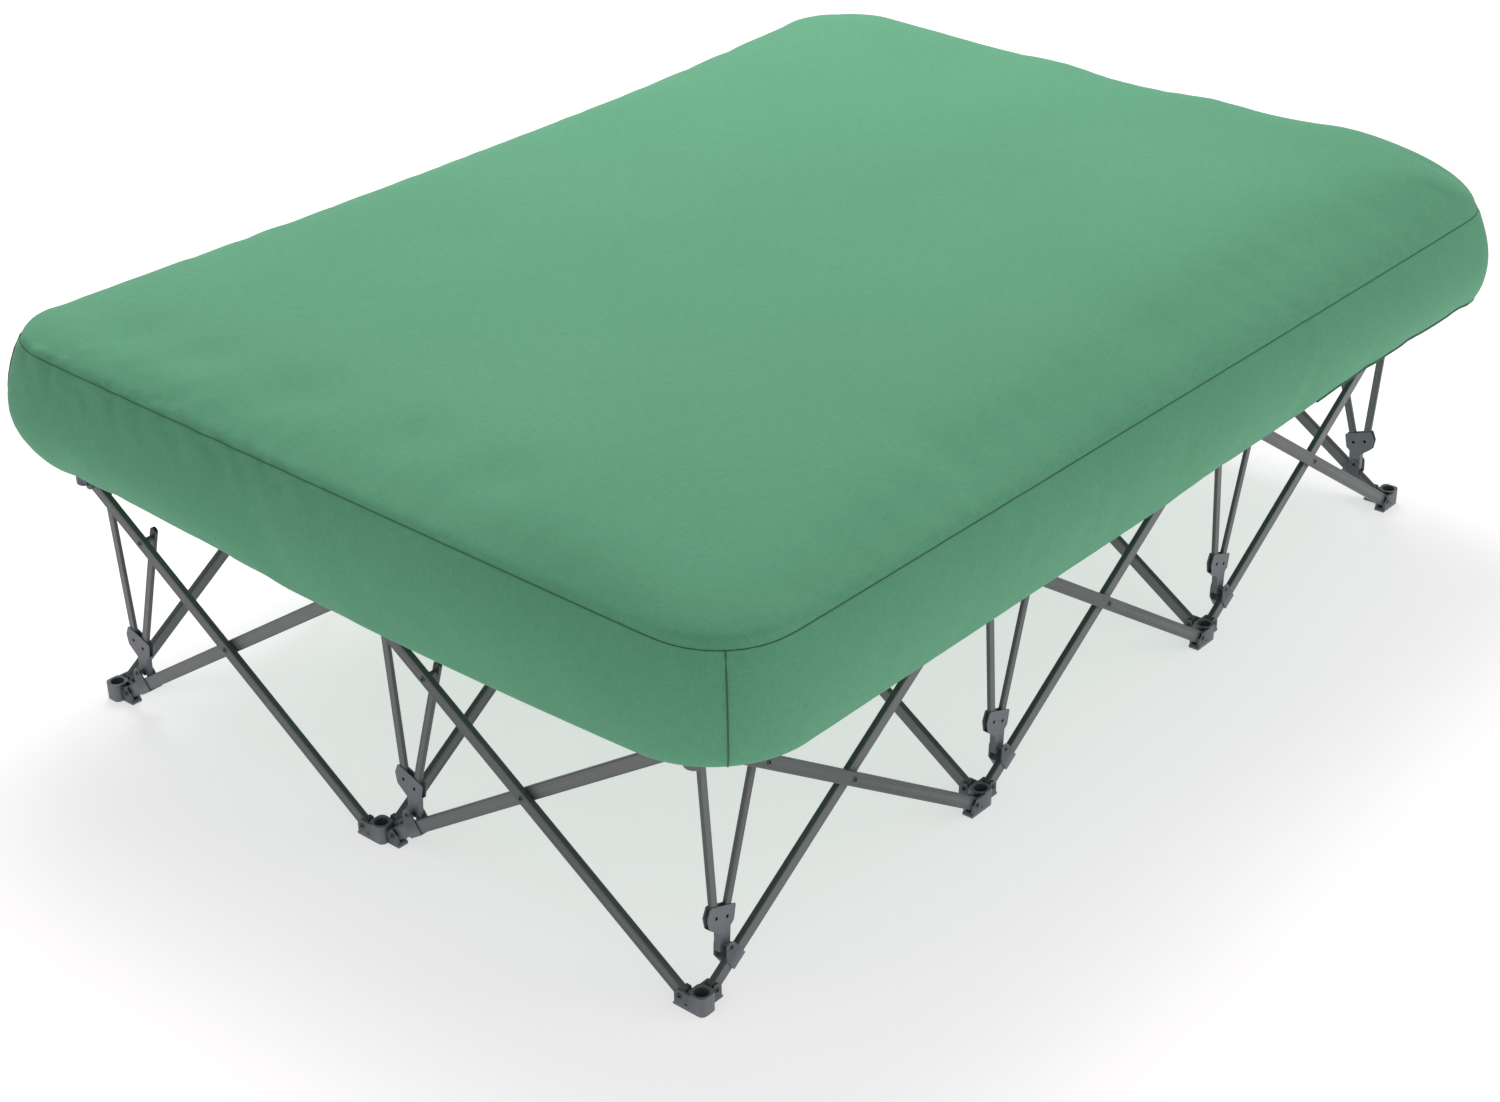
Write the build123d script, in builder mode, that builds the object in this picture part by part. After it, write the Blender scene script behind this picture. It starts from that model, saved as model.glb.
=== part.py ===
"""Folding cot: a scissor-grid bed frame with an air mattress in a fitted cover.

Frame of the model: X across the bed, Y along it, Z up, origin on the floor
under the middle of the bed.  Columns a, b, c run along +X, rows 1 to 4 along +Y.
"""
from build123d import *
from math import asin, cos, degrees, hypot, radians, sin
import os

os.makedirs("parts", exist_ok=True)

# ---- driving dimensions, mm ----
COLUMNS = "abc"
ROWS = "1234"
PITCH = 630.0            # hub centre to hub centre, both ways
HUB_REACH = 27.0         # hub centre to the rivet of each arm
RIVET_HEIGHT = 18.0      # rivet above the outer face of its hub
FRAME_HEIGHT = 420.0     # floor to the top faces of the upper hubs

# bars of the scissor pairs (rectangular tube)
BAR_DEPTH = 21.0
BAR_THICK = 10.0
BAR_WALL = 1.0
BAR_OFFSET = 5.5         # mid-plane of each bar from the plane of its pair
BAR_EDGE = 2.0           # rounding of the long edges

# hub moulding
CORE_CORNER = 8.5
CORE_HEIGHT = 30.0
SOCKET_RADIUS = 10.5
SOCKET_FLOOR = 6.0
ARM_END = 36.5
ARM_HEIGHT = 28.0
ARM_SHOULDER = 7.0       # slope at the top of each arm's end
ARM_DIP = 21.0           # lower stretch of each arm beside the core, clear of a swinging strut
DIP_START = 19.5
DIP_END = 21.5
SOCKET_CHAMFER = 1.0
PIN_HOLE = 1.6           # small blind hole low on the outer face of each foot arm
PIN_HOLE_AT = (15.0, 9.0)
PIN_HOLE_DEPTH = 2.5
SLOT_START = 15.5
SLOT_WIDTH = 10.6
CHEEK = 4.0
SLOT_FLOOR = 6.0
LIP = 2.5                # foot of each arm past its end
LIP_HEIGHT = 3.0

# rivets
RIVET_RADIUS = 3.0
RUNNING_GAP = 0.05
HEAD_RADIUS = 4.6
HEAD_HEIGHT = 1.2
HEAD_CHAMFER = 0.7
HEAD_HOLLOW = 2.1        # the ends are tubular
HOLLOW_DEPTH = 3.0
SLEEVE_RADIUS = 5.0

# braces, in the (along, up) plane of an edge pair
STRUT_WIDTH = 13.0
STRUT_THICK = 6.4
STRUT_WALL = 1.0
STRUT_EDGE = 1.2
SHORT_STRUT_AT = 128.0   # along the falling bar from its top rivet
SHORT_STRUT_STUB = 13.0  # round end of the short strut past its rivet
LONG_STRUT_FOOT = (46.0, 118.0)
SHORT_STRUT_FOOT = (68.0, 110.0)
BRACE_MID = -16.0        # mid-plane of the brace from the plane of its pair
BRACKET_THICK = 10.0
BRACKET_CHEEK = 1.6
BRACKET_ROUND = 3.0
BRACKET_OUTLINE = (
    (36, 140), (86, 122), (81, 97), (74, 92), (72, 58), (51, 58), (51, 90), (32, 106), (29, 124)
)
BRACKET_HOLLOW = ((26, 150), (94, 150), (94, 104), (80, 98), (44, 98), (26, 110))
STOP_PIN = (61.0, 68.0)
NOTCH_ANGLE = -63.0      # the pin leaves the notch this way as the bed folds
NOTCH_DEPTH = 20.0
NOTCH_PLAY = 0.6
SADDLE_START = 38.0      # along the rising bar from its foot rivet
SADDLE_END = 66.0
SADDLE_WALL = 2.0
SADDLE_ROUND = 8.5       # rounded top of each cheek, about the stop pin
SADDLE_INNER = -23.5     # inner face of the saddle from the plane of its pair

# air mattress and cover
BED_WIDTH = 1520.0
BED_LENGTH = 2090.0
BED_TOP = 700.0
BED_GAP = 0.5            # over the upper hubs
CORNER_RADIUS = 185.0
SHOULDER_RADIUS = 130.0
BASE_RADIUS = 70.0
COVER_THICK = 1.2
AIR_SKIN = 0.8

# ---- worked out from those ----
FOOT_Z = RIVET_HEIGHT
TOP_Z = FRAME_HEIGHT - RIVET_HEIGHT
SPAN = PITCH - 2 * HUB_REACH
RISE = TOP_Z - FOOT_Z
BAR_LENGTH = hypot(SPAN, RISE)
OPEN_ANGLE = degrees(asin(RISE / BAR_LENGTH))
ARM_WIDTH = SLOT_WIDTH + 2 * CHEEK

UP = Vector(0, 0, 1)
AXES = {0: Vector(1, 0, 0), 90: Vector(0, 1, 0), 180: Vector(-1, 0, 0), 270: Vector(0, -1, 0)}


def station_point(column, row):
    """Floor point under the hubs of one station."""
    return Vector(
        (column - (len(COLUMNS) - 1) / 2) * PITCH, (row - (len(ROWS) - 1) / 2) * PITCH, 0
    )


def station_name(station):
    return COLUMNS[station[0]] + ROWS[station[1]]


def pair_plane(station, heading):
    """Plane of a scissor pair: x along the pair, y up, normal to its outer side."""
    along = AXES[heading]
    return Plane(origin=station_point(*station), x_dir=along, z_dir=along.cross(UP))


def edge_pairs():
    """Stations round the edge, each with the heading to the next one."""
    last_column, last_row = len(COLUMNS) - 1, len(ROWS) - 1
    near = [((c, 0), 0) for c in range(last_column)]
    right = [((last_column, r), 90) for r in range(last_row)]
    far = [((c, last_row), 180) for c in range(last_column, 0, -1)]
    left = [((0, r), 270) for r in range(last_row, 0, -1)]
    return near + right + far + left


def inner_pairs():
    """Stations of the pairs inside the edge, with their headings."""
    across = [((c, r), 0) for r in range(1, len(ROWS) - 1) for c in range(len(COLUMNS) - 1)]
    lengthways = [((c, r), 90) for c in range(1, len(COLUMNS) - 1) for r in range(len(ROWS) - 1)]
    return across + lengthways


def next_station(station, heading):
    step = AXES[heading]
    return station[0] + round(step.X), station[1] + round(step.Y)


def save(name, *pieces):
    """Write one node; more than one piece stays as separate solids."""
    node = pieces[0] if len(pieces) == 1 else Compound(children=list(pieces))
    node.label = name
    export_step(node, f"parts/{name}.step")


def polar(start, angle, distance):
    """Point at a distance from start, in the (along, up) plane."""
    return start[0] + distance * cos(radians(angle)), start[1] + distance * sin(radians(angle))


def rivet(plane, point, low, high, sleeve=None, head=HEAD_RADIUS):
    """Headed rivet along the plane's normal; its heads stand outside low and high."""
    with BuildPart() as pin:
        with BuildSketch(plane.offset(low - HEAD_HEIGHT)):
            with Locations(point):
                Circle(RIVET_RADIUS)
        extrude(amount=high - low + 2 * HEAD_HEIGHT)
        for start in (low - HEAD_HEIGHT, high):
            with BuildSketch(plane.offset(start)):
                with Locations(point):
                    Circle(head)
            extrude(amount=HEAD_HEIGHT)
        if sleeve:
            with BuildSketch(plane.offset(sleeve[0])):
                with Locations(point):
                    Circle(SLEEVE_RADIUS)
            extrude(amount=sleeve[1] - sleeve[0])
        ends = pin.faces().filter_by(plane).sort_by(Axis(plane.origin, plane.z_dir))
        rims = [ends[0].edges(), ends[-1].edges()]
        chamfer(rims[0] + rims[1], length=HEAD_CHAMFER)
        for end in (low - HEAD_HEIGHT, high + HEAD_HEIGHT - HOLLOW_DEPTH):
            with BuildSketch(plane.offset(end)):
                with Locations(point):
                    Circle(HEAD_HOLLOW)
            extrude(amount=HOLLOW_DEPTH, mode=Mode.SUBTRACT)
    return pin.part


def tube(plane, mid, ends, width, thick, wall, edge, holes, stub=None):
    """Flat tube between two points of the plane, with round ends and cross holes."""
    start, end = Vector(*ends[0]), Vector(*ends[1])
    run = end - start
    length = run.length
    angle = degrees(asin(run.Y / length))
    if run.X < 0:
        angle = 180 - angle
    reach = stub or 0.0
    centre = start + run * (0.5 * (1 - reach / length))
    with BuildPart() as body:
        with BuildSketch(plane.offset(mid - thick / 2)):
            with Locations((centre.X, centre.Y)):
                SlotCenterToCenter(length + reach, width, rotation=angle)
        extrude(amount=thick)
        fillet(body.faces().filter_by(plane).edges(), radius=edge)
        with BuildSketch(plane.offset(mid - thick / 2 + wall)):
            with Locations((centre.X, centre.Y)):
                Rectangle(length + reach + 2 * width, width - 2 * wall, rotation=angle)
        extrude(amount=thick - 2 * wall, mode=Mode.SUBTRACT)
        for point, radius in holes:
            with BuildSketch(plane.offset(mid - thick)):
                with Locations(point):
                    Circle(radius)
            extrude(amount=2 * thick, mode=Mode.SUBTRACT)
    return body.part


def falling_ends():
    return (HUB_REACH, TOP_Z), (PITCH - HUB_REACH, FOOT_Z)


def rising_ends():
    return (HUB_REACH, FOOT_Z), (PITCH - HUB_REACH, TOP_Z)


def scissor_bar(plane, side, ends, crossing_radius, extra_holes=()):
    """One bar of a pair; side +1 is the outer bar, -1 the inner bar."""
    hub_hole = RIVET_RADIUS + RUNNING_GAP
    middle = (PITCH / 2, (FOOT_Z + TOP_Z) / 2)
    holes = [(ends[0], hub_hole), (ends[1], hub_hole), (middle, crossing_radius), *extra_holes]
    return tube(plane, side * BAR_OFFSET, ends, BAR_DEPTH, BAR_THICK, BAR_WALL, BAR_EDGE, holes)


def crossing_rivet(plane):
    """Rivet and washer where the two bars of a pair cross."""
    middle = (PITCH / 2, (FOOT_Z + TOP_Z) / 2)
    reach = BAR_OFFSET + BAR_THICK / 2
    washer = BAR_OFFSET - BAR_THICK / 2 - RUNNING_GAP
    return rivet(plane, middle, -reach - RUNNING_GAP, reach, sleeve=(-washer, washer))


# ---- hubs ----

def arm_flank(base, heading):
    """Plane across an arm: x outwards along the arm, y away from the base plane."""
    out = AXES[heading]
    return Plane(origin=base.origin, x_dir=out, z_dir=out.cross(base.z_dir))


def hub(base, arms, is_top):
    """Hub moulding and its rivets on the base plane, whose normal points into the frame.

    arms: (heading, side of the bar, braced) for each arm.
    """
    core_width = 2 * BAR_OFFSET + ARM_WIDTH
    with BuildPart() as moulding:
        with BuildSketch(base):
            if is_top:
                Circle(core_width / 2)
            else:
                RectangleRounded(core_width, core_width, CORE_CORNER)
        extrude(amount=CORE_HEIGHT)
        for heading, side, braced in arms:
            with BuildSketch(arm_flank(base, heading).offset(-side * BAR_OFFSET - ARM_WIDTH / 2)):
                with BuildLine():
                    Polyline(
                        (0, 0), (ARM_END + LIP, 0), (ARM_END + LIP, LIP_HEIGHT),
                        (ARM_END, LIP_HEIGHT + LIP), (ARM_END, ARM_DIP),
                        (ARM_END - ARM_SHOULDER, ARM_HEIGHT), (DIP_END, ARM_HEIGHT),
                        (DIP_START, ARM_DIP), (0, ARM_DIP), close=True,
                    )
                make_face()
            extrude(amount=ARM_WIDTH)
        for heading, side, braced in ([] if is_top else arms):
            outer_cheek = -side * (BAR_OFFSET + ARM_WIDTH / 2)
            with BuildSketch(arm_flank(base, heading).offset(outer_cheek)):
                Rectangle(DIP_END, ARM_HEIGHT, align=(Align.MIN, Align.MIN))
            extrude(amount=side * CHEEK)
            with BuildSketch(arm_flank(base, heading).offset(outer_cheek)):
                with Locations(PIN_HOLE_AT):
                    Circle(PIN_HOLE)
            extrude(amount=side * PIN_HOLE_DEPTH, mode=Mode.SUBTRACT)
        for heading, side, braced in arms:
            flank = arm_flank(base, heading)
            with BuildSketch(flank.offset(-side * BAR_OFFSET - SLOT_WIDTH / 2)):
                with Locations((SLOT_START, SLOT_FLOOR)):
                    Rectangle(ARM_END, CORE_HEIGHT, align=(Align.MIN, Align.MIN))
            extrude(amount=SLOT_WIDTH, mode=Mode.SUBTRACT)
            with BuildSketch(flank.offset(-CORE_HEIGHT)):
                with Locations((HUB_REACH, RIVET_HEIGHT)):
                    Circle(RIVET_RADIUS)
            extrude(amount=2 * CORE_HEIGHT, mode=Mode.SUBTRACT)
        with BuildSketch(base.offset(SOCKET_FLOOR)):
            Circle(SOCKET_RADIUS)
        extrude(amount=CORE_HEIGHT, mode=Mode.SUBTRACT)
        rim = moulding.faces().filter_by(base).sort_by(Axis(base.origin, base.z_dir))[-1]
        chamfer(rim.edges().filter_by(GeomType.CIRCLE).sort_by(SortBy.RADIUS)[-1], SOCKET_CHAMFER)

    rivets = []
    for heading, side, braced in arms:
        flank = arm_flank(base, heading)
        low = -side * BAR_OFFSET - ARM_WIDTH / 2
        high = low + ARM_WIDTH
        if braced:
            strut_face = -BRACE_MID + STRUT_THICK / 2 + RUNNING_GAP
            sleeve = (high, -BRACE_MID - STRUT_THICK / 2 - RUNNING_GAP)
            rivets.append(rivet(flank, (HUB_REACH, RIVET_HEIGHT), low, strut_face, sleeve))
        else:
            rivets.append(rivet(flank, (HUB_REACH, RIVET_HEIGHT), low, high))
    return [moulding.part, *rivets]


def station_arms(station, is_top):
    """Arms of the hub at a station: heading on its base plane, bar side, braced."""
    arms = []
    for start, heading in edge_pairs():
        if start == station:
            arms.append((heading, 1, is_top))
        if next_station(start, heading) == station:
            arms.append(((heading + 180) % 360, 1, False))
    for start, heading in inner_pairs():
        if start == station:
            arms.append((heading, -1, False))
        if next_station(start, heading) == station:
            arms.append(((heading + 180) % 360, -1, False))
    return arms


for column in range(len(COLUMNS)):
    for row in range(len(ROWS)):
        point = station_point(column, row)
        name = station_name((column, row))
        foot_base = Plane(origin=point, x_dir=(1, 0, 0), z_dir=(0, 0, 1))
        save(f"foot_hub_{name}", *hub(foot_base, station_arms((column, row), False), False))
        top_base = Plane(origin=point + UP * FRAME_HEIGHT, x_dir=(1, 0, 0), z_dir=(0, 0, -1))
        save(f"top_hub_{name}", *hub(top_base, station_arms((column, row), True), True))

# ---- braces and saddles ----

def brace(plane):
    """Struts, bracket, rivets and sleeve that ride on the falling bar of an edge pair."""
    top_rivet = (HUB_REACH, TOP_Z)
    bar_point = polar(top_rivet, -OPEN_ANGLE, SHORT_STRUT_AT)
    hub_hole = RIVET_RADIUS + RUNNING_GAP
    long_strut = tube(
        plane, BRACE_MID, (top_rivet, LONG_STRUT_FOOT), STRUT_WIDTH, STRUT_THICK, STRUT_WALL,
        STRUT_EDGE, [(top_rivet, hub_hole), (LONG_STRUT_FOOT, RIVET_RADIUS)],
    )
    short_strut = tube(
        plane, BRACE_MID, (bar_point, SHORT_STRUT_FOOT), STRUT_WIDTH, STRUT_THICK, STRUT_WALL,
        STRUT_EDGE, [(bar_point, RIVET_RADIUS), (SHORT_STRUT_FOOT, RIVET_RADIUS)], SHORT_STRUT_STUB,
    )
    low = BRACE_MID - BRACKET_THICK / 2
    with BuildPart() as bracket:
        with BuildSketch(plane.offset(low)):
            with BuildLine():
                FilletPolyline(*BRACKET_OUTLINE, close=True, radius=BRACKET_ROUND)
            make_face()
        extrude(amount=BRACKET_THICK)
        with BuildSketch(plane.offset(low + BRACKET_CHEEK)):
            with BuildLine():
                Polyline(*BRACKET_HOLLOW, close=True)
            make_face()
        extrude(amount=BRACKET_THICK - 2 * BRACKET_CHEEK, mode=Mode.SUBTRACT)
        notch_width = 2 * RIVET_RADIUS + NOTCH_PLAY
        with BuildSketch(plane.offset(low)):
            with Locations(polar(STOP_PIN, NOTCH_ANGLE, NOTCH_DEPTH / 2)):
                SlotCenterToCenter(NOTCH_DEPTH, notch_width, rotation=NOTCH_ANGLE)
            with Locations(LONG_STRUT_FOOT, SHORT_STRUT_FOOT):
                Circle(RIVET_RADIUS)
        extrude(amount=BRACKET_THICK, mode=Mode.SUBTRACT)
    feet = [
        rivet(plane, foot, low + HEAD_HEIGHT, low + BRACKET_THICK - HEAD_HEIGHT, head=RIVET_RADIUS)
        for foot in (LONG_STRUT_FOOT, SHORT_STRUT_FOOT)
    ]
    bar_face = BAR_OFFSET - BAR_THICK / 2
    upper = rivet(
        plane, bar_point, BRACE_MID - STRUT_THICK / 2, BAR_OFFSET + BAR_THICK / 2,
        sleeve=(BRACE_MID + STRUT_THICK / 2, bar_face),
    )
    return [long_strut, short_strut, bracket.part, *feet, upper]


def saddle(plane):
    """U-shaped bracket round the rising bar near its foot, and its stop pin."""
    foot = (HUB_REACH, FOOT_Z)
    outer = -BAR_OFFSET + BAR_THICK / 2 + SADDLE_WALL
    below = BAR_DEPTH / 2
    middle = polar(foot, OPEN_ANGLE, (SADDLE_START + SADDLE_END) / 2)
    length = SADDLE_END - SADDLE_START
    inside = polar(middle, OPEN_ANGLE + 90, 1.5 * below)
    with BuildPart() as bracket:
        with BuildSketch(plane.offset(SADDLE_INNER)):
            with Locations(middle):
                Rectangle(length, BAR_DEPTH + 2 * SADDLE_WALL, rotation=OPEN_ANGLE)
            with Locations(STOP_PIN):
                Circle(SADDLE_ROUND)
            make_hull()
        extrude(amount=outer - SADDLE_INNER)
        with BuildSketch(plane.offset(SADDLE_INNER + SADDLE_WALL)):
            with Locations(inside):
                Rectangle(2 * length, 5 * below, rotation=OPEN_ANGLE)
        extrude(amount=outer - SADDLE_INNER - 2 * SADDLE_WALL, mode=Mode.SUBTRACT)
        seat = polar(middle, OPEN_ANGLE + 90, -below / 4)
        bar_inner = -BAR_OFFSET - BAR_THICK / 2
        with BuildSketch(plane.offset(SADDLE_INNER + SADDLE_WALL)):
            with Locations(seat):
                Rectangle(length, 1.5 * below, rotation=OPEN_ANGLE)
        extrude(amount=bar_inner - SADDLE_INNER - SADDLE_WALL)
        with BuildSketch(plane.offset(SADDLE_INNER)):
            with Locations(STOP_PIN):
                Circle(RIVET_RADIUS)
        extrude(amount=outer - SADDLE_INNER, mode=Mode.SUBTRACT)
    pin = rivet(plane, STOP_PIN, SADDLE_INNER, outer)
    return [bracket.part, pin]


# ---- scissor pairs ----
fixed_hole = RIVET_RADIUS
loose_hole = RIVET_RADIUS + RUNNING_GAP

for start, heading in edge_pairs():
    plane = pair_plane(start, heading)
    here, there = station_name(start), station_name(next_station(start, heading))
    strut_hole = (polar((HUB_REACH, TOP_Z), -OPEN_ANGLE, SHORT_STRUT_AT), RIVET_RADIUS)
    falling = scissor_bar(plane, 1, falling_ends(), fixed_hole, [strut_hole])
    save(f"bar_top_{here}_foot_{there}", falling, crossing_rivet(plane), *brace(plane))
    rising = scissor_bar(plane, -1, rising_ends(), loose_hole)
    save(f"bar_foot_{here}_top_{there}", rising, *saddle(plane))

for start, heading in inner_pairs():
    plane = pair_plane(start, heading)
    here, there = station_name(start), station_name(next_station(start, heading))
    falling = scissor_bar(plane, -1, falling_ends(), loose_hole)
    save(f"bar_top_{here}_foot_{there}", falling)
    rising = scissor_bar(plane, 1, rising_ends(), fixed_hole)
    save(f"bar_foot_{here}_top_{there}", rising, crossing_rivet(plane))

# ---- air mattress and cover ----

def pillow(inset):
    """Rounded block of the mattress, drawn in by inset on every side."""
    base = FRAME_HEIGHT + BED_GAP + inset
    with BuildPart() as block:
        with BuildSketch(Plane.XY.offset(base)):
            RectangleRounded(
                BED_WIDTH - 2 * inset, BED_LENGTH - 2 * inset, CORNER_RADIUS - inset
            )
        extrude(amount=BED_TOP - inset - base)
        rims = block.faces().filter_by(Plane.XY).sort_by(Axis.Z)
        fillet(rims[-1].edges(), radius=SHOULDER_RADIUS - inset)
        rims = block.faces().filter_by(Plane.XY).sort_by(Axis.Z)
        fillet(rims[0].edges(), radius=BASE_RADIUS - inset)
    return block.part


with BuildPart() as cover:
    add(pillow(0.0))
    add(pillow(COVER_THICK), mode=Mode.SUBTRACT)
save("fitted_cover", cover.part)

with BuildPart() as air_mattress:
    add(pillow(COVER_THICK))
    add(pillow(COVER_THICK + AIR_SKIN), mode=Mode.SUBTRACT)
save("air_mattress", air_mattress.part)
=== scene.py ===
"""Folding cot with an air mattress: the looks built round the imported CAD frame.

Metres, in the frame's own axes: X across the bed, Y along it, Z up.
"""
import math

import bpy
import numpy as np
from mathutils import Matrix, Vector


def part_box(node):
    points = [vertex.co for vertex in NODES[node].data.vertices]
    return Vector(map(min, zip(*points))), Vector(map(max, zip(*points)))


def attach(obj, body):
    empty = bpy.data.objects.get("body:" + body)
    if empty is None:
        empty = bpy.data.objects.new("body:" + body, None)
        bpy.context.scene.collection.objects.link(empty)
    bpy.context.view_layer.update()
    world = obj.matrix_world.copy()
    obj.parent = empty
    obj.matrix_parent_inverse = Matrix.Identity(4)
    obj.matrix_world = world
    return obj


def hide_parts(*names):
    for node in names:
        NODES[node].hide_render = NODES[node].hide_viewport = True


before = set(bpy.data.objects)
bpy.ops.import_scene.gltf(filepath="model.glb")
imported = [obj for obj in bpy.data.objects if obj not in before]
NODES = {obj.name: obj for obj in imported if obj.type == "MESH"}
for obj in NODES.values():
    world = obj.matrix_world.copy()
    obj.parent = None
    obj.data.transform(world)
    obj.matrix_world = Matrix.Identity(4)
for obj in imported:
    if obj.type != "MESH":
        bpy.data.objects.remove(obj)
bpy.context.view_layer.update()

# ---- camera and stage ----
CAMERA_TARGET = Vector((0.068, -0.184, 0.185))
CAMERA_DISTANCE = 4.168
CAMERA_AZIMUTH = math.radians(40.99)
CAMERA_ELEVATION = math.radians(28.5)
CAMERA_ROLL = math.radians(-0.99)
CAMERA_LENS = 61.46
FLOOR_SIZE = 60.0
FLOOR_GLOW = 0.58           # lifts the floor towards white
SKY_STRENGTH = 0.48         # the even light; the camera itself sees plain white
LIGHTS = (                  # name, place, target, size, watts
    ("key", (-1.9, 1.5, 4.4), (0.0, 0.0, 0.4), 3.0, 168.0),
    ("side", (4.8, 2.6, 1.5), (0.6, 0.3, 0.45), 2.0, 38.0),
)

# ---- mattress and cover ----
HALF_WIDTH = 0.742          # seam line, from its own middle
HALF_LENGTH = 1.012
SEAM_CENTRE = (0.004, 0.005)
SEAM_CORNER = 0.120         # corner radius of the seam line, from above
SEAM_HEIGHT = (0.636, 0.604, 0.594, 0.610)   # near left, near right, far right, far left
TOP_HEIGHT = (0.650, 0.646, 0.699, 0.724)
SHOULDER_REACH = 0.30       # how far in the shoulder starts to curve down
SHOULDER_POWER = 2.25
SHOULDER_SPACING = 1.6      # above 1 the rows are closer together at the seam
CORNER_GROWTH = 0.25        # corner radius gained for each metre in from the seam
SIDE_BULGE = (0.052, 0.028, 0.042, 0.040)    # corners in the same order
SIDE_SQUARENESS = 0.75      # 1 is an ellipse; less is boxier
TUCK = 0.10                 # how far the side curves in under the bed
BASE_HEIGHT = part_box("fitted_cover")[0][2] + 0.0005
DROOP_INSET = 0.022         # where the cover hangs lowest, outside the hubs
DROOP_WIDTH = 0.017
DROOP = (-0.020, 0.030, 0.016, 0.000)
DROOP_MIDDLE = 0.026        # more of it half way along the short sides
COVER_CELLS = (62, 86)      # quads across and along the bed
SHOULDER_ROWS = 14
SIDE_ROWS = 18
BASE_ROWS = 5
BAG_CELLS = (42, 58)
BAG_GAP = 0.020             # between the air mattress and the cover
STREAK_SCALE = (45.0, 700.0)        # noise scale of the slubs, along and across a thread
THREAD_BANDS = 520.0        # wave scale of the weave, which makes about 1650 threads a metre

# ---- seams and wrinkles of the cover ----
TOP_THREAD = (0.0008, 0.0003)       # radius, lift out of the cloth
BASE_THREAD = (0.0016, 0.0004)
HEM_FOLD_SHADOW = (0.0030, -0.0004)      # sunk in: a dark line that stands for the painted shadow of a fold
CORNER_THREAD = (0.0009, 0.0009)
BASE_SEAM_ROW = 3           # side row of the seam round the lower edge
HEM_ROW = 9                 # side row of the painted fold shadow at the far end of the right side
HEM_START = 0.70            # share of the right side before the painted fold shadow begins
GROOVE_DEPTH = 0.0020       # of the groove that the top seam lies in
GROOVE_WIDTH = 0.007
GATHERS = 24                # sine waves that make up the wrinkles along the seam
GATHERS_A_TURN = (28, 120)  # least and most waves round the bed
GATHER_SLANT = 24.0         # most radians that a wave shifts for each metre from the seam
GATHER_DEPTH = 0.0030
GATHER_REACH = 0.045        # they die away over this distance from the seam
GATHER_START = 0.010        # and are flat within this distance of it
GATHER_ABOVE = 0.6          # strength of the gathers above the seam; below it, 1
GATHER_FAR = 0.45           # strength where they have faded
GATHERED = (0.35, 0.95)     # they fade between these, in metres along the seam from near left
PUCKER_FALLOFF = 11.0       # of the gathers in the material, their bump and painted shade, for each metre from the seam
PUCKER_FAR = 0.1            # their strength where they have faded
DENT_FADE = 0.1             # height over the base at which the dimples have their full depth
DENTS = (                   # x, y, radius, depth of the soft dimples and, negative, the bumps
    (-0.52, -0.895, 0.060, 0.010), (-0.37, -0.885, 0.055, 0.009), (-0.17, -0.890, 0.065, 0.010),
    (0.06, -0.885, 0.060, 0.009), (0.24, -0.890, 0.060, 0.009),
    (-0.08, 0.90, 0.085, -0.007), (0.24, 0.90, 0.075, -0.006), (0.50, 0.89, 0.070, -0.006),
    (0.64, -0.45, 0.060, 0.004), (0.64, 0.05, 0.070, 0.004), (0.63, 0.50, 0.060, 0.004),
)
SEAM_LENGTH = 4 * (HALF_WIDTH + HALF_LENGTH) - (8 - 2 * math.pi) * SEAM_CORNER

# ---- faces of the frame ----
STEEL, PLASTIC, RIVET = range(3)
RIVET_SIZE = 0.0096         # no face of a rivet's head is larger
FITTING_SIZE = 0.11         # no face of a brace bracket or saddle is larger
FITTING_HEIGHTS = (0.030, 0.150)    # brackets and saddles lie between these
EDGE_POINTINESS = (0.52, 0.60)      # from flat to worn

# ---- cloth simulation of the cover ----
PRESSURE = 4.0
FRAMES = 20
SWELL_CAP = 0.012
SLACK = 0.006               # share by which the cloth is cut larger than its form


def node_tree(name):
    """New material, its node tree and its main shader."""
    material = bpy.data.materials.new(name)
    material.use_nodes = True
    tree = material.node_tree
    return material, tree, tree.nodes["Principled BSDF"]


def add_node(tree, kind, **values):
    """New node; inputs are set by name, properties by their lower-case name."""
    made = tree.nodes.new(kind)
    for key, value in values.items():
        if key in made.inputs:
            made.inputs[key].default_value = value
        else:
            setattr(made, key, value)
    return made


def noise_at(tree, coordinate, scale, detail=4.0, roughness=0.55):
    made = add_node(tree, "ShaderNodeTexNoise", Scale=scale, Detail=detail, Roughness=roughness)
    tree.links.new(coordinate, made.inputs["Vector"])
    return made.outputs["Fac"]


def ramp(tree, factor, stops):
    """Colour ramp over (position, colour) stops."""
    made = tree.nodes.new("ShaderNodeValToRGB")
    elements = made.color_ramp.elements
    while len(elements) < len(stops):
        elements.new(0.5)
    for element, (place, colour) in zip(elements, stops):
        element.position = place
        element.color = (*colour, 1.0)
    tree.links.new(factor, made.inputs["Fac"])
    return made.outputs["Color"]


def span(tree, factor, low, high):
    """Factor from 0..1 mapped onto low..high."""
    made = add_node(tree, "ShaderNodeMapRange")
    made.inputs["To Min"].default_value = low
    made.inputs["To Max"].default_value = high
    tree.links.new(factor, made.inputs["Value"])
    return made.outputs["Result"]


def join(tree, operation, a, b):
    """Math node; a and b are sockets or numbers."""
    made = tree.nodes.new("ShaderNodeMath")
    made.operation = operation
    for socket, value in zip(made.inputs, (a, b)):
        if isinstance(value, (int, float)):
            socket.default_value = value
        else:
            tree.links.new(value, socket)
    return made.outputs["Value"]


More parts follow.
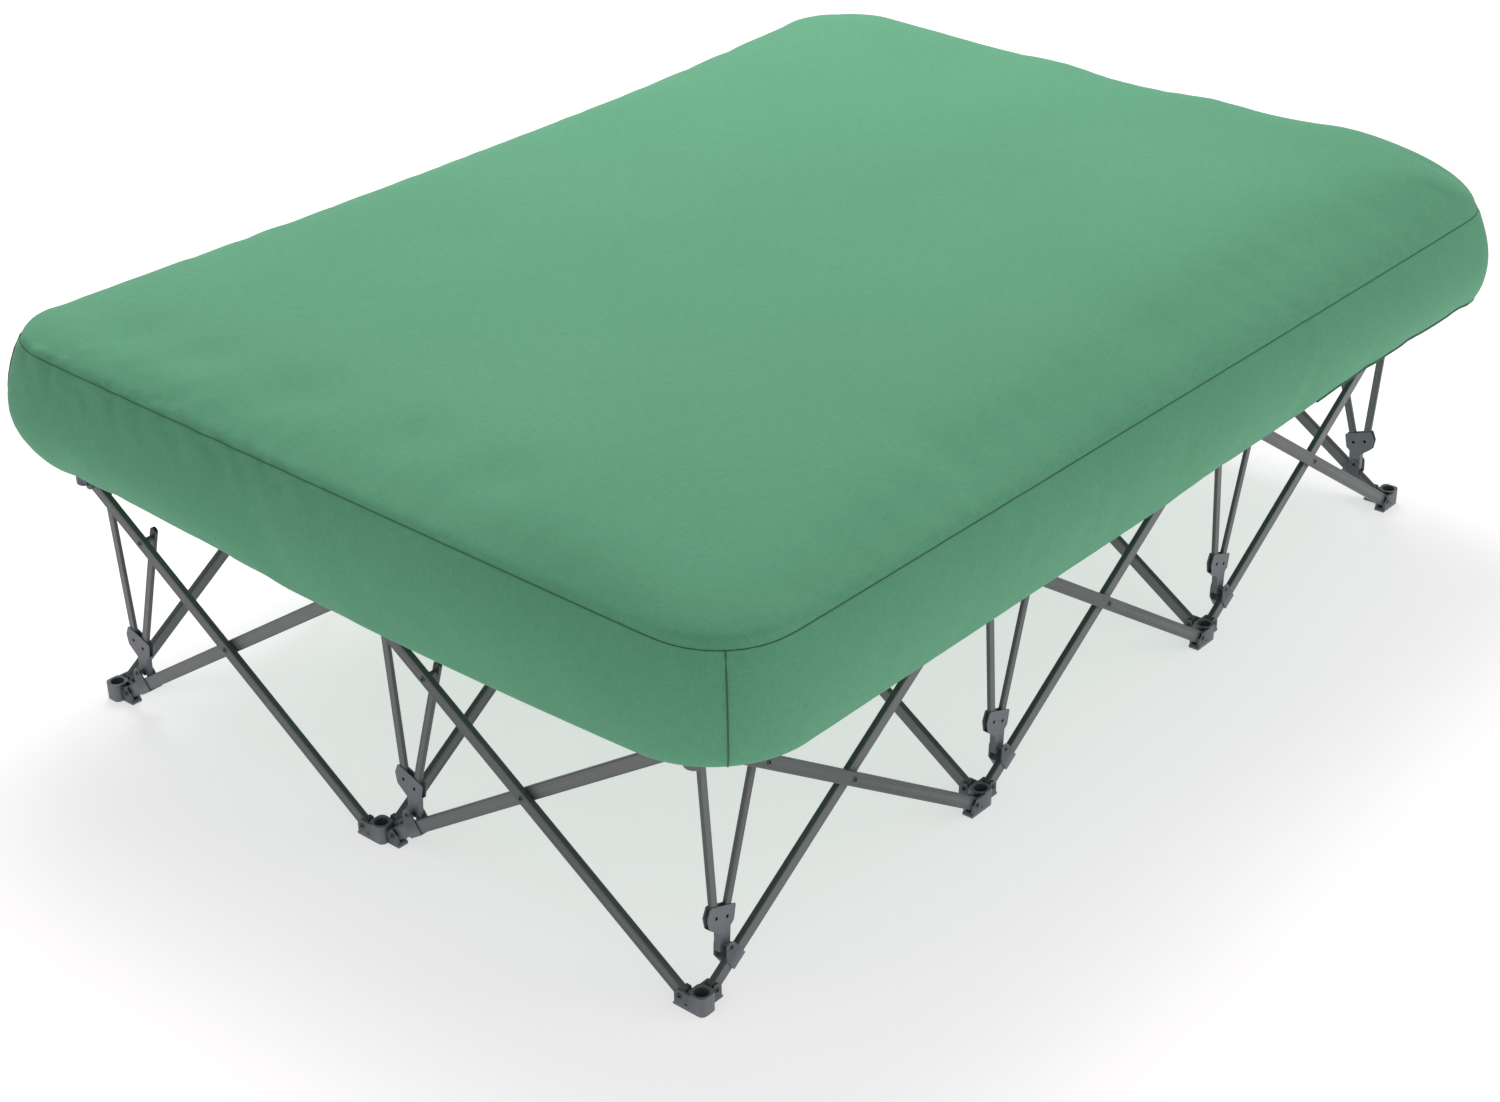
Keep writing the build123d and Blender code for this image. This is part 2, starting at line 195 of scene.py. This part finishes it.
def blend_colours(tree, factor, a, b):
    """Mix node for colours; factor, a and b are sockets or values."""
    made = tree.nodes.new("ShaderNodeMix")
    made.data_type = "RGBA"
    sockets = (made.inputs["Factor"], made.inputs[6], made.inputs[7])
    for socket, value in zip(sockets, (factor, a, b)):
        if isinstance(value, bpy.types.NodeSocket):
            tree.links.new(value, socket)
        elif isinstance(value, (int, float)):
            socket.default_value = value
        else:
            socket.default_value = (*value, 1.0)
    return made.outputs[2]


def bump(tree, shader, height, strength, distance, under=None):
    made = add_node(tree, "ShaderNodeBump", Strength=strength, Distance=distance)
    tree.links.new(height, made.inputs["Height"])
    if under is not None:
        tree.links.new(under, made.inputs["Normal"])
    if shader is not None:
        tree.links.new(made.outputs["Normal"], shader.inputs["Normal"])
    return made.outputs["Normal"]


def object_place(tree):
    return tree.nodes.new("ShaderNodeTexCoord").outputs["Object"]


def edge_wear(tree):
    """1 on convex edges, 0 elsewhere."""
    made = tree.nodes.new("ShaderNodeNewGeometry")
    wear = add_node(tree, "ShaderNodeMapRange")
    wear.inputs["From Min"].default_value, wear.inputs["From Max"].default_value = EDGE_POINTINESS
    tree.links.new(made.outputs["Pointiness"], wear.inputs["Value"])
    return wear.outputs["Result"]


def powder_coat():
    """Satin grey powder coat: fine orange peel, faint dust and paler worn edges."""
    material, tree, shader = node_tree("powder_coat")
    place = object_place(tree)
    mottle = noise_at(tree, place, 9.0)
    coat = ramp(tree, mottle, [(0.3, (0.062, 0.070, 0.071)), (0.7, (0.079, 0.089, 0.090))])
    speck = noise_at(tree, place, 2600.0, detail=1.0)
    coat = blend_colours(tree, span(tree, speck, -0.15, 0.30), coat, (0.13, 0.135, 0.14))
    worn = blend_colours(tree, join(tree, "MULTIPLY", edge_wear(tree), 0.35), coat, (0.22, 0.23, 0.24))
    tree.links.new(worn, shader.inputs["Base Color"])
    tree.links.new(span(tree, noise_at(tree, place, 60.0), 0.36, 0.50), shader.inputs["Roughness"])
    bump(tree, shader, noise_at(tree, place, 1300.0, detail=2.0), 0.12, 0.0004)
    shader.inputs["Metallic"].default_value = 0.15
    shader.inputs["Coat Weight"].default_value = 0.12
    shader.inputs["Coat Roughness"].default_value = 0.25
    return material


def moulded_plastic():
    """Blue-grey moulded plastic with a fine grain, scuffs and rubbed corners."""
    material, tree, shader = node_tree("moulded_plastic")
    place = object_place(tree)
    mottle = noise_at(tree, place, 40.0)
    body = ramp(tree, mottle, [(0.3, (0.080, 0.088, 0.104)), (0.7, (0.100, 0.110, 0.128))])
    worn = blend_colours(tree, join(tree, "MULTIPLY", edge_wear(tree), 0.45), body, (0.25, 0.265, 0.285))
    tree.links.new(worn, shader.inputs["Base Color"])
    tree.links.new(span(tree, noise_at(tree, place, 150.0), 0.42, 0.60), shader.inputs["Roughness"])
    bump(tree, shader, noise_at(tree, place, 1800.0, detail=3.0), 0.22, 0.0005)
    shader.inputs["Specular IOR Level"].default_value = 0.45
    return material


def rivet_steel():
    """Blackened steel of the rivets, brushed by handling."""
    material, tree, shader = node_tree("rivet_steel")
    place = object_place(tree)
    mottle = noise_at(tree, place, 220.0)
    body = ramp(tree, mottle, [(0.35, (0.008, 0.008, 0.009)), (0.7, (0.018, 0.018, 0.020))])
    worn = blend_colours(tree, join(tree, "MULTIPLY", edge_wear(tree), 0.5), body, (0.16, 0.165, 0.17))
    tree.links.new(worn, shader.inputs["Base Color"])
    tree.links.new(span(tree, noise_at(tree, place, 400.0), 0.30, 0.48), shader.inputs["Roughness"])
    bump(tree, shader, noise_at(tree, place, 2500.0, detail=2.0), 0.1, 0.0003)
    shader.inputs["Metallic"].default_value = 0.3
    return material


def woven_cover():
    """Green woven polyester: crossed threads, slubs, soft mottling and puckers along the seam, with
    painted shade in the weave's valleys and on the puckers.
    """
    material, tree, shader = node_tree("woven_cover")
    cloth = add_node(tree, "ShaderNodeUVMap", uv_map="cloth").outputs["UV"]
    place = object_place(tree)
    threads = []
    for direction in ("X", "Y"):
        wave = add_node(
            tree, "ShaderNodeTexWave", bands_direction=direction, wave_profile="SIN",
            Scale=THREAD_BANDS, Distortion=0.6, Detail=1.0,
        )
        wave.inputs["Detail Scale"].default_value = 3.0
        tree.links.new(cloth, wave.inputs["Vector"])
        threads.append(wave.outputs["Fac"])
    weave = join(tree, "MAXIMUM", *threads)
    broad = noise_at(tree, place, 2.2, detail=3.0)
    colour = ramp(tree, broad, [(0.32, (0.124, 0.386, 0.222)), (0.68, (0.141, 0.414, 0.243))])
    slub = noise_at(tree, cloth, 95.0, detail=5.0, roughness=0.7)
    colour = blend_colours(tree, span(tree, slub, -0.2, 0.32), colour, (0.088, 0.305, 0.168))
    streaks = thread_streaks(tree, cloth)
    colour = blend_colours(tree, span(tree, streaks, -0.75, 1.15), colour, (0.078, 0.272, 0.148))
    # painted shade: the cloth is darker in the valleys of the weave, where the threads dip
    weave_valley_shade = span(tree, weave, 0.22, 0.0)
    colour = blend_colours(tree, weave_valley_shade, colour, (0.066, 0.25, 0.135))
    # painted shade: the pucker pattern darkens the cloth colour as well as bumping it
    gathers = seam_puckers_and_shade(tree)
    colour = blend_colours(tree, join(tree, "MULTIPLY", gathers, 0.7), colour, (0.070, 0.26, 0.142))
    tree.links.new(colour, shader.inputs["Base Color"])
    tree.links.new(span(tree, slub, 0.72, 0.88), shader.inputs["Roughness"])
    soft = bump(tree, None, noise_at(tree, place, 26.0, detail=3.0), 0.10, 0.004)
    pucker = bump(tree, None, gathers, 1.0, 0.012, under=soft)
    slubs = bump(tree, None, streaks, 0.45, 0.0012, under=pucker)
    bump(tree, shader, weave, 0.30, 0.0005, under=slubs)
    shader.inputs["Specular IOR Level"].default_value = 0.18
    shader.inputs["Sheen Weight"].default_value = 0.05
    shader.inputs["Sheen Roughness"].default_value = 0.55
    return material


def thread_streaks(tree, cloth):
    """Thicker and thinner threads, long and narrow, both ways of the weave."""
    both = []
    for scale in (STREAK_SCALE, STREAK_SCALE[::-1]):
        stretched = tree.nodes.new("ShaderNodeMapping")
        stretched.inputs["Scale"].default_value = (*scale, 1.0)
        tree.links.new(cloth, stretched.inputs["Vector"])
        both.append(noise_at(tree, stretched.outputs["Vector"], 1.0, detail=3.0))
    return join(tree, "MULTIPLY", join(tree, "ADD", *both), 0.5)


def seam_puckers_and_shade(tree):
    """Short slanted gathers that fade out within a hand's width of the seam line; the pattern bumps the
    cloth and also darkens it as painted shade.
    """
    seam = add_node(tree, "ShaderNodeUVMap", uv_map="seam").outputs["UV"]
    wave = add_node(
        tree, "ShaderNodeTexWave", bands_direction="DIAGONAL", Scale=9.0, Distortion=5.0, Detail=2.0,
    )
    tree.links.new(seam, wave.inputs["Vector"])
    apart = tree.nodes.new("ShaderNodeSeparateXYZ")
    tree.links.new(seam, apart.inputs["Vector"])
    distance = join(tree, "ABSOLUTE", apart.outputs["Y"], 0.0)
    share = join(tree, "MINIMUM", join(tree, "MULTIPLY", distance, PUCKER_FALLOFF), 1.0)
    fade = join(tree, "POWER", join(tree, "SUBTRACT", 1.0, share), 2.0)
    patchy = noise_at(tree, seam, 3.0, detail=2.0)
    where = add_node(tree, "ShaderNodeMapRange")
    for name, value in zip(("From Min", "From Max", "To Min", "To Max"), (*GATHERED, 1.0, PUCKER_FAR)):
        where.inputs[name].default_value = value
    tree.links.new(apart.outputs["X"], where.inputs["Value"])
    gathered = join(tree, "MULTIPLY", patchy, where.outputs["Result"])
    return join(tree, "MULTIPLY", join(tree, "MULTIPLY", wave.outputs["Fac"], fade), gathered)


def seam_thread_and_fold_shade():
    """Twisted sewing thread, a darker green than the cloth; the dark green partly stands for painted
    shade in the seams' folds.
    """
    material, tree, shader = node_tree("seam_thread_and_fold_shade")
    place = object_place(tree)
    mottle = noise_at(tree, place, 300.0)
    # thread colour kept dark partly as painted shade of the folds along the seams
    colour = ramp(tree, mottle, [(0.3, (0.022, 0.085, 0.048)), (0.7, (0.036, 0.125, 0.072))])
    tree.links.new(colour, shader.inputs["Base Color"])
    shader.inputs["Roughness"].default_value = 0.8
    bump(tree, shader, noise_at(tree, place, 1500.0), 0.3, 0.0004)
    return material


def air_bag_sheet():
    """Satin plastic sheet of the inflated bag inside the cover."""
    material, tree, shader = node_tree("air_bag_sheet")
    place = object_place(tree)
    mottle = noise_at(tree, place, 5.0)
    colour = ramp(tree, mottle, [(0.3, (0.20, 0.22, 0.25)), (0.7, (0.25, 0.27, 0.30))])
    tree.links.new(colour, shader.inputs["Base Color"])
    tree.links.new(span(tree, noise_at(tree, place, 30.0), 0.35, 0.5), shader.inputs["Roughness"])
    bump(tree, shader, noise_at(tree, place, 700.0, detail=2.0), 0.15, 0.0005)
    return material


def pale_floor():
    """White studio floor, which glows a little and takes a soft shadow."""
    material, tree, shader = node_tree("pale_floor")
    place = object_place(tree)
    mottle = noise_at(tree, place, 1.5)
    colour = ramp(tree, mottle, [(0.3, (0.62, 0.568, 0.597)), (0.7, (0.64, 0.587, 0.616))])
    tree.links.new(colour, shader.inputs["Base Color"])
    shader.inputs["Roughness"].default_value = 0.85
    shader.inputs["Specular IOR Level"].default_value = 0.2
    shader.inputs["Emission Color"].default_value = (1.0, 1.0, 1.0, 1.0)
    shader.inputs["Emission Strength"].default_value = FLOOR_GLOW
    return material


# ---- camera, light and floor ----

def make_camera():
    camera = bpy.data.objects.new("camera", bpy.data.cameras.new("camera"))
    bpy.context.scene.collection.objects.link(camera)
    camera.data.lens = CAMERA_LENS
    camera.data.sensor_width = 36.0
    camera.data.clip_end = 200.0
    back = Vector((
        math.sin(CAMERA_AZIMUTH) * math.cos(CAMERA_ELEVATION),
        -math.cos(CAMERA_AZIMUTH) * math.cos(CAMERA_ELEVATION),
        math.sin(CAMERA_ELEVATION),
    ))
    camera.location = CAMERA_TARGET + back * CAMERA_DISTANCE
    level = (-back).to_track_quat("-Z", "Y").to_matrix()
    camera.rotation_euler = (level @ Matrix.Rotation(CAMERA_ROLL, 3, "Z")).to_euler()
    bpy.context.scene.camera = camera


def area_light(name, place, target, size, watts):
    light = bpy.data.objects.new(name, bpy.data.lights.new(name, "AREA"))
    bpy.context.scene.collection.objects.link(light)
    light.data.shape = "SQUARE"
    light.data.size = size
    light.data.energy = watts
    light.location = place
    light.rotation_euler = (Vector(target) - Vector(place)).to_track_quat("-Z", "Y").to_euler()


def make_stage():
    bpy.ops.mesh.primitive_plane_add(size=FLOOR_SIZE)
    floor = bpy.context.object
    floor.name = "floor"
    floor.data.materials.append(pale_floor())
    world = bpy.data.worlds.new("studio")
    world.use_nodes = True
    sky = world.node_tree
    backdrop = sky.nodes["Background"]
    backdrop.inputs["Color"].default_value = (1.0, 1.0, 1.0, 1.0)
    seen = sky.nodes.new("ShaderNodeLightPath").outputs["Is Camera Ray"]
    sky.links.new(span(sky, seen, SKY_STRENGTH, 1.0), backdrop.inputs["Strength"])
    bpy.context.scene.world = world
    bpy.context.scene.view_settings.view_transform = "Standard"
    for light in LIGHTS:
        area_light(*light)


# ---- frame ----

def face_patches(mesh):
    """Patch number of every face, joining faces that share a vertex; and the faces' corners."""
    corners = np.empty(len(mesh.polygons) * 3, np.int64)
    mesh.loops.foreach_get("vertex_index", corners)
    corners = corners.reshape(-1, 3)
    label = np.arange(len(mesh.vertices))
    while True:
        low = label[corners].min(axis=1)
        fresh = label.copy()
        for k in range(3):
            np.minimum.at(fresh, corners[:, k], low)
        fresh = fresh[fresh]
        if np.array_equal(fresh, label):
            return label[corners[:, 0]], corners
        label = fresh


def paint_node(node, is_hub, materials):
    """Gives each face of a frame node its material, by the size and height of its patch."""
    mesh = node.data
    patches, corners = face_patches(mesh)
    places = get_points(mesh)
    mesh.materials.clear()
    for material in materials:
        mesh.materials.append(material)
    _, patch = np.unique(patches, return_inverse=True)
    count = patch.max() + 1
    low, high = np.full((count, 3), np.inf), np.full((count, 3), -np.inf)
    for k in range(3):
        np.minimum.at(low, patch, places[corners[:, k]])
        np.maximum.at(high, patch, places[corners[:, k]])
    extent = (high - low).max(axis=1)
    height = (high + low)[:, 2] / 2
    fitting = (extent <= FITTING_SIZE) & (height > FITTING_HEIGHTS[0]) & (height < FITTING_HEIGHTS[1])
    kind = np.where(fitting | is_hub, PLASTIC, STEEL)
    kind[extent <= RIVET_SIZE] = RIVET
    mesh.polygons.foreach_set("material_index", kind[patch].astype(np.int32))
    mesh.update()


# ---- soft goods ----

def loop_side(half_x, half_y, radius, count, turn):
    """Points of one side of a rounded rectangle, from the middle of one corner to the next."""
    straight = 2.0 * (half_x - radius)
    arc = radius * math.pi / 4
    total = straight + 2 * arc
    points = []
    for k in range(count):
        s = total * k / count
        if s < arc:
            angle = -3 * math.pi / 4 + s / radius
            x = -half_x + radius + radius * math.cos(angle)
            y = -half_y + radius + radius * math.sin(angle)
        elif s < arc + straight:
            x, y = -half_x + radius + s - arc, -half_y
        else:
            angle = -math.pi / 2 + (s - arc - straight) / radius
            x = half_x - radius + radius * math.cos(angle)
            y = -half_y + radius + radius * math.sin(angle)
        points.append((x, y) if turn == 0 else (-y, x))
    return points


def bed_loop(inset, radius, cells):
    """Rounded rectangle drawn in from the seam line, as cells quads a side."""
    half_x, half_y = HALF_WIDTH - inset, HALF_LENGTH - inset
    near = loop_side(half_x, half_y, radius, cells[0], 0)
    right = loop_side(half_y, half_x, radius, cells[1], 1)
    first_half = np.array(near + right)
    return np.concatenate([first_half, -first_half]) + SEAM_CENTRE


def outward_of(loop):
    """Unit vectors out of a loop that runs anticlockwise from above."""
    along = np.roll(loop, -1, 0) - np.roll(loop, 1, 0)
    out = np.column_stack([along[:, 1], -along[:, 0]])
    return out / np.linalg.norm(out, axis=1, keepdims=True)


def corner_blend(values, points):
    """Value at each point, from the four at the corners of the bed."""
    u = np.clip(points[:, 0] / HALF_WIDTH, -1, 1) * 0.5 + 0.5
    v = np.clip(points[:, 1] / HALF_LENGTH, -1, 1) * 0.5 + 0.5
    near = values[0] * (1 - u) + values[1] * u
    far = values[3] * (1 - u) + values[2] * u
    return near * (1 - v) + far * v


def top_rise(inset):
    """Share of the shoulder's rise at an inset from the seam line."""
    t = min(inset / SHOULDER_REACH, 1.0)
    return (1 - (1 - t) ** SHOULDER_POWER) ** (1 / SHOULDER_POWER)


def mattress_rows(cells, shrink):
    """Loops of points from the middle of the base, out, up the side and over the shoulder."""
    rows = []
    for k in range(BASE_ROWS):
        share = k / BASE_ROWS
        inset = SHOULDER_REACH + (TUCK - SHOULDER_REACH) * share
        loop = bed_loop(inset + shrink, SEAM_CORNER, cells)
        rows.append(np.column_stack([loop, np.full(len(loop), BASE_HEIGHT + shrink)]))
    for k in range(SIDE_ROWS):
        angle = math.pi / 2 * (1 - k / SIDE_ROWS)
        inset = TUCK * (1 - math.cos(angle) ** SIDE_SQUARENESS)
        loop = bed_loop(inset + shrink, SEAM_CORNER, cells)
        bulge = corner_blend(SIDE_BULGE, loop) * math.sin(2 * angle) ** SIDE_SQUARENESS
        loop += outward_of(loop) * bulge[:, None]
        seam = corner_blend(SEAM_HEIGHT, loop)
        height = seam - (seam - BASE_HEIGHT - shrink) * math.sin(angle) ** SIDE_SQUARENESS
        if shrink == 0.0:
            sag = math.exp(-((inset - DROOP_INSET) / DROOP_WIDTH) ** 2)
            middle = DROOP_MIDDLE * np.clip(1 - (loop[:, 0] / HALF_WIDTH) ** 2, 0, 1)
            height -= (corner_blend(DROOP, loop) + middle) * sag
        rows.append(np.column_stack([loop, height]))
    for k in range(SHOULDER_ROWS + 1):
        inset = SHOULDER_REACH * (k / SHOULDER_ROWS) ** SHOULDER_SPACING
        loop = bed_loop(inset + shrink, SEAM_CORNER + CORNER_GROWTH * inset, cells)
        seam, top = corner_blend(SEAM_HEIGHT, loop), corner_blend(TOP_HEIGHT, loop)
        rows.append(np.column_stack([loop, seam + (top - shrink - seam) * top_rise(inset)]))
    return rows


def patch(loop, cells):
    """Grid of points inside a loop, by blending its four sides."""
    nx, ny = cells
    near, right = loop[:nx + 1], loop[nx:nx + ny + 1]
    far = loop[nx + ny:2 * nx + ny + 1][::-1]
    left = np.concatenate([loop[2 * nx + ny:], loop[:1]])[::-1]
    u = np.linspace(0, 1, nx + 1)[:, None, None]
    v = np.linspace(0, 1, ny + 1)[None, :, None]
    ruled = near[:, None] * (1 - v) + far[:, None] * v + left[None] * (1 - u) + right[None] * u
    corners = (
        near[0] * (1 - u) * (1 - v) + near[-1] * u * (1 - v) + far[0] * (1 - u) * v + far[-1] * u * v
    )
    return ruled - corners


def mattress_mesh(name, cells, shrink=0.0):
    """Closed quad mesh of the mattress; returns the object and its seam line's first point."""
    rows = mattress_rows(cells, shrink)
    nx, ny = cells
    ring = 2 * (nx + ny)
    points = [np.concatenate(rows)]
    faces = []
    for row in range(len(rows) - 1):
        for k in range(ring):
            a, b = row * ring + k, row * ring + (k + 1) % ring
            faces.append((a, b, b + ring, a + ring))
    count = len(points[0])
    for row, is_top in ((len(rows) - 1, True), (0, False)):
        grid = patch(rows[row], cells)
        index = np.empty((nx + 1, ny + 1), int)
        start = row * ring
        index[:, 0] = start + np.arange(nx + 1)
        index[nx, :] = start + nx + np.arange(ny + 1)
        index[::-1, ny] = start + nx + ny + np.arange(nx + 1)
        index[0, ::-1] = start + (2 * nx + ny + np.arange(ny + 1)) % ring
        inner = (nx - 1) * (ny - 1)
        index[1:nx, 1:ny] = count + np.arange(inner).reshape(nx - 1, ny - 1)
        count += inner
        points.append(grid[1:nx, 1:ny].reshape(-1, 3))
        for i in range(nx):
            for j in range(ny):
                quad = (index[i, j], index[i + 1, j], index[i + 1, j + 1], index[i, j + 1])
                faces.append(quad if is_top else quad[::-1])
    mesh = bpy.data.meshes.new(name)
    mesh.from_pydata(np.concatenate(points).tolist(), [], [tuple(map(int, f)) for f in faces])
    mesh.update()
    mesh.shade_smooth()
    add_cloth_maps(mesh, rows, ring)
    made = bpy.data.objects.new(name, mesh)
    bpy.context.scene.collection.objects.link(made)
    return made, (BASE_ROWS + SIDE_ROWS) * ring


def add_cloth_maps(mesh, rows, ring):
    """UV maps in metres: "cloth" lies along the panels, "seam" is along and away from the seam."""
    loop = rows[BASE_ROWS + SIDE_ROWS]
    along = np.concatenate([[0.0], np.cumsum(np.linalg.norm(np.roll(loop, -1, 0) - loop, axis=1))])
    heights = np.array(rows)
    steps = np.linalg.norm(np.diff(heights, axis=0), axis=2)
    run = np.concatenate([np.zeros((1, ring)), np.cumsum(steps, axis=0)])
    away = run - run[BASE_ROWS + SIDE_ROWS]
    places = get_points(mesh)
    count = len(mesh.polygons)
    corners = np.empty(count * 4, np.int64)
    mesh.loops.foreach_get("vertex_index", corners)
    corners = corners.reshape(count, 4)
    cloth, seam = places[corners][:, :, :2].copy(), np.zeros((count, 4, 2))
    banded = (len(rows) - 1) * ring
    rows_of, column = np.divmod(np.arange(banded), ring)
    for corner, (up, right) in enumerate(((0, 0), (0, 1), (1, 1), (1, 0))):
        distance = away[rows_of + up, (column + right) % ring]
        seam[:banded, corner] = np.column_stack([along[column + right], distance])
    seam[banded:, :, 1] = 1.0
    side = np.zeros(count, bool)
    side[:banded] = (rows_of >= BASE_ROWS) & (rows_of < BASE_ROWS + SIDE_ROWS)
    cloth[side] = seam[side]
    for name, values in (("cloth", cloth), ("seam", seam)):
        mesh.uv_layers.new(name=name).data.foreach_set("uv", values.astype(np.float32).ravel())
    turn = 2 * math.pi * np.tile(along[:-1] / along[-1], len(rows))
    for name, values, rest in (
        ("round_x", np.cos(turn), 1.0), ("round_y", np.sin(turn), 0.0), ("away", away.ravel(), 1.0),
    ):
        whole = np.full(len(mesh.vertices), rest)
        whole[:len(values)] = values
        mesh.attributes.new(name, "FLOAT", "POINT").data.foreach_set("value", whole.astype(np.float32))


def read_attribute(mesh, name):
    values = np.empty(len(mesh.vertices), np.float32)
    mesh.attributes[name].data.foreach_get("value", values)
    return values.astype(float)


def get_points(mesh):
    places = np.empty(len(mesh.vertices) * 3, np.float64)
    mesh.vertices.foreach_get("co", places)
    return places.reshape(-1, 3)


def set_points(mesh, points):
    mesh.vertices.foreach_set("co", points.astype(np.float32).ravel())
    mesh.update()


def read_normals(mesh):
    values = np.empty(len(mesh.vertices) * 3, np.float32)
    mesh.vertex_normals.foreach_get("vector", values)
    return values.reshape(-1, 3).astype(float)


def swell(piece, held):
    """Inflates a closed cloth by simulation, and keeps every point near where it started."""
    start = get_points(piece.data)
    group = piece.vertex_groups.new(name="held")
    group.add([int(v) for v in held], 1.0, "REPLACE")
    cloth = piece.modifiers.new("cloth", "CLOTH")
    settings = cloth.settings
    settings.quality = 5
    settings.mass = 0.25
    settings.tension_stiffness = settings.compression_stiffness = 12.0
    settings.shear_stiffness = 4.0
    settings.bending_stiffness = 0.3
    settings.air_damping = 2.0
    settings.use_pressure = True
    settings.uniform_pressure_force = PRESSURE
    settings.effector_weights.gravity = 0.0
    settings.vertex_group_mass = group.name
    settings.shrink_min = -SLACK
    cloth.collision_settings.use_collision = False
    cloth.point_cache.frame_start, cloth.point_cache.frame_end = 1, FRAMES
    for step in range(1, FRAMES + 1):
        bpy.context.scene.frame_set(step)
    settled = piece.evaluated_get(bpy.context.evaluated_depsgraph_get())
    move = get_points(settled.to_mesh()) - start
    settled.to_mesh_clear()
    piece.modifiers.remove(cloth)
    piece.vertex_groups.clear()
    bpy.context.scene.frame_set(1)
    far = np.linalg.norm(move, axis=1, keepdims=True)
    capped = np.tanh(far / SWELL_CAP) * SWELL_CAP
    set_points(piece.data, start + move * capped / np.maximum(far, 1e-9))


def subdivide(piece):
    """One smooth subdivision, applied to the mesh."""
    piece.modifiers.new("subdivision", "SUBSURF").levels = 1
    evaluated = piece.evaluated_get(bpy.context.evaluated_depsgraph_get())
    piece.data = bpy.data.meshes.new_from_object(evaluated)
    piece.data.name = piece.name
    piece.modifiers.clear()
    piece.data.shade_smooth()


def wrinkle(piece):
    """Soft folds along the seam line, a groove at the seam, and dimples in the top."""
    mesh = piece.data
    points, normals = get_points(mesh), read_normals(mesh)
    away = read_attribute(mesh, "away")
    turn = np.arctan2(read_attribute(mesh, "round_y"), read_attribute(mesh, "round_x"))
    dice = np.random.default_rng(12)
    height = np.zeros(len(points))
    for _ in range(GATHERS):
        count, phase = dice.integers(*GATHERS_A_TURN), dice.uniform(0, 2 * math.pi)
        slant = dice.uniform(-GATHER_SLANT, GATHER_SLANT)
        height += np.sin(count * turn + phase + slant * away) / math.sqrt(GATHERS)
    fade = np.exp(-np.abs(away) / GATHER_REACH) * (1 - np.exp(-(away / GATHER_START) ** 2))
    along = np.mod(turn, 2 * math.pi) * SEAM_LENGTH / (2 * math.pi)
    strength = np.where(away < 0, 1.0, GATHER_ABOVE) * np.interp(along, GATHERED, (1.0, GATHER_FAR))
    height = height * fade * strength * GATHER_DEPTH
    height -= GROOVE_DEPTH * np.exp(-(away / GROOVE_WIDTH) ** 2)
    upper = np.clip((points[:, 2] - BASE_HEIGHT) / DENT_FADE, 0, 1)
    for x, y, radius, depth in DENTS:
        reach = ((points[:, 0] - x) ** 2 + (points[:, 1] - y) ** 2) / radius ** 2
        height -= depth * np.exp(-reach) * upper * (away > 0)
    set_points(mesh, points + normals * height[:, None])


def thread_along(name, points, normals, size, cyclic):
    """Round thread through points of the cover; size is its radius and its lift out of the cloth."""
    radius, lift = size
    curve = bpy.data.curves.new(name, "CURVE")
    curve.dimensions = "3D"
    curve.bevel_depth = radius
    curve.bevel_resolution = 2
    spline = curve.splines.new("POLY")
    spline.points.add(len(points) - 1)
    raised = np.column_stack([points + normals * lift, np.ones(len(points))])
    spline.points.foreach_set("co", raised.astype(np.float32).ravel())
    spline.use_cyclic_u = cyclic
    made = bpy.data.objects.new(name, curve)
    bpy.context.scene.collection.objects.link(made)
    return made


# ---- put it together ----

make_camera()
make_stage()
frame_finishes = powder_coat(), moulded_plastic(), rivet_steel()
for name, node in NODES.items():
    if "_hub_" in name or name.startswith("bar_"):
        paint_node(node, "_hub_" in name, frame_finishes)

cover, seam_start = mattress_mesh("cover_cloth", COVER_CELLS)
RING = 2 * sum(COVER_CELLS)
seam_line = np.arange(seam_start, seam_start + RING)
bottom = np.flatnonzero(get_points(cover.data)[:, 2] < BASE_HEIGHT + 0.012)
swell(cover, np.union1d(bottom, seam_line))
subdivide(cover)
wrinkle(cover)
cover.data.materials.append(woven_cover())
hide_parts("fitted_cover")
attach(cover, "mattress")

# one dark thread material for every seam; its darkness is partly painted shade of the folds
thread = seam_thread_and_fold_shade()
spots, outward = get_points(cover.data), read_normals(cover.data)
all_round = np.arange(RING)
# columns of the painted fold shadow: a dark thread sunk into the cloth where a fold's shade lies, with
# no fold in the mesh
fold_shadow_columns = COVER_CELLS[0] + np.arange(round(HEM_START * COVER_CELLS[1]), COVER_CELLS[1])
upright = (BASE_ROWS + np.arange(BASE_SEAM_ROW, SIDE_ROWS + 1)) * RING
seams = [
    ("top_seam", seam_line, TOP_THREAD, True),
    ("base_seam", (BASE_ROWS + BASE_SEAM_ROW) * RING + all_round, BASE_THREAD, True),
    ("hem_fold_shadow", (BASE_ROWS + HEM_ROW) * RING + fold_shadow_columns, HEM_FOLD_SHADOW, False),
    ("corner_seam_near_left", upright, CORNER_THREAD, False),
    ("corner_seam_near_right", upright + COVER_CELLS[0], CORNER_THREAD, False),
    ("corner_seam_far_right", upright + RING // 2, CORNER_THREAD, False),
    ("corner_seam_far_left", upright + RING // 2 + COVER_CELLS[0], CORNER_THREAD, False),
]
for label, line, size, cyclic in seams:
    seam = thread_along(label, spots[line], outward[line], size, cyclic)
    seam.data.materials.append(thread)
    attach(seam, "mattress")

bag, _ = mattress_mesh("air_mattress_bag", BAG_CELLS, BAG_GAP)
bag.data.materials.append(air_bag_sheet())
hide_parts("air_mattress")
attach(bag, "mattress")
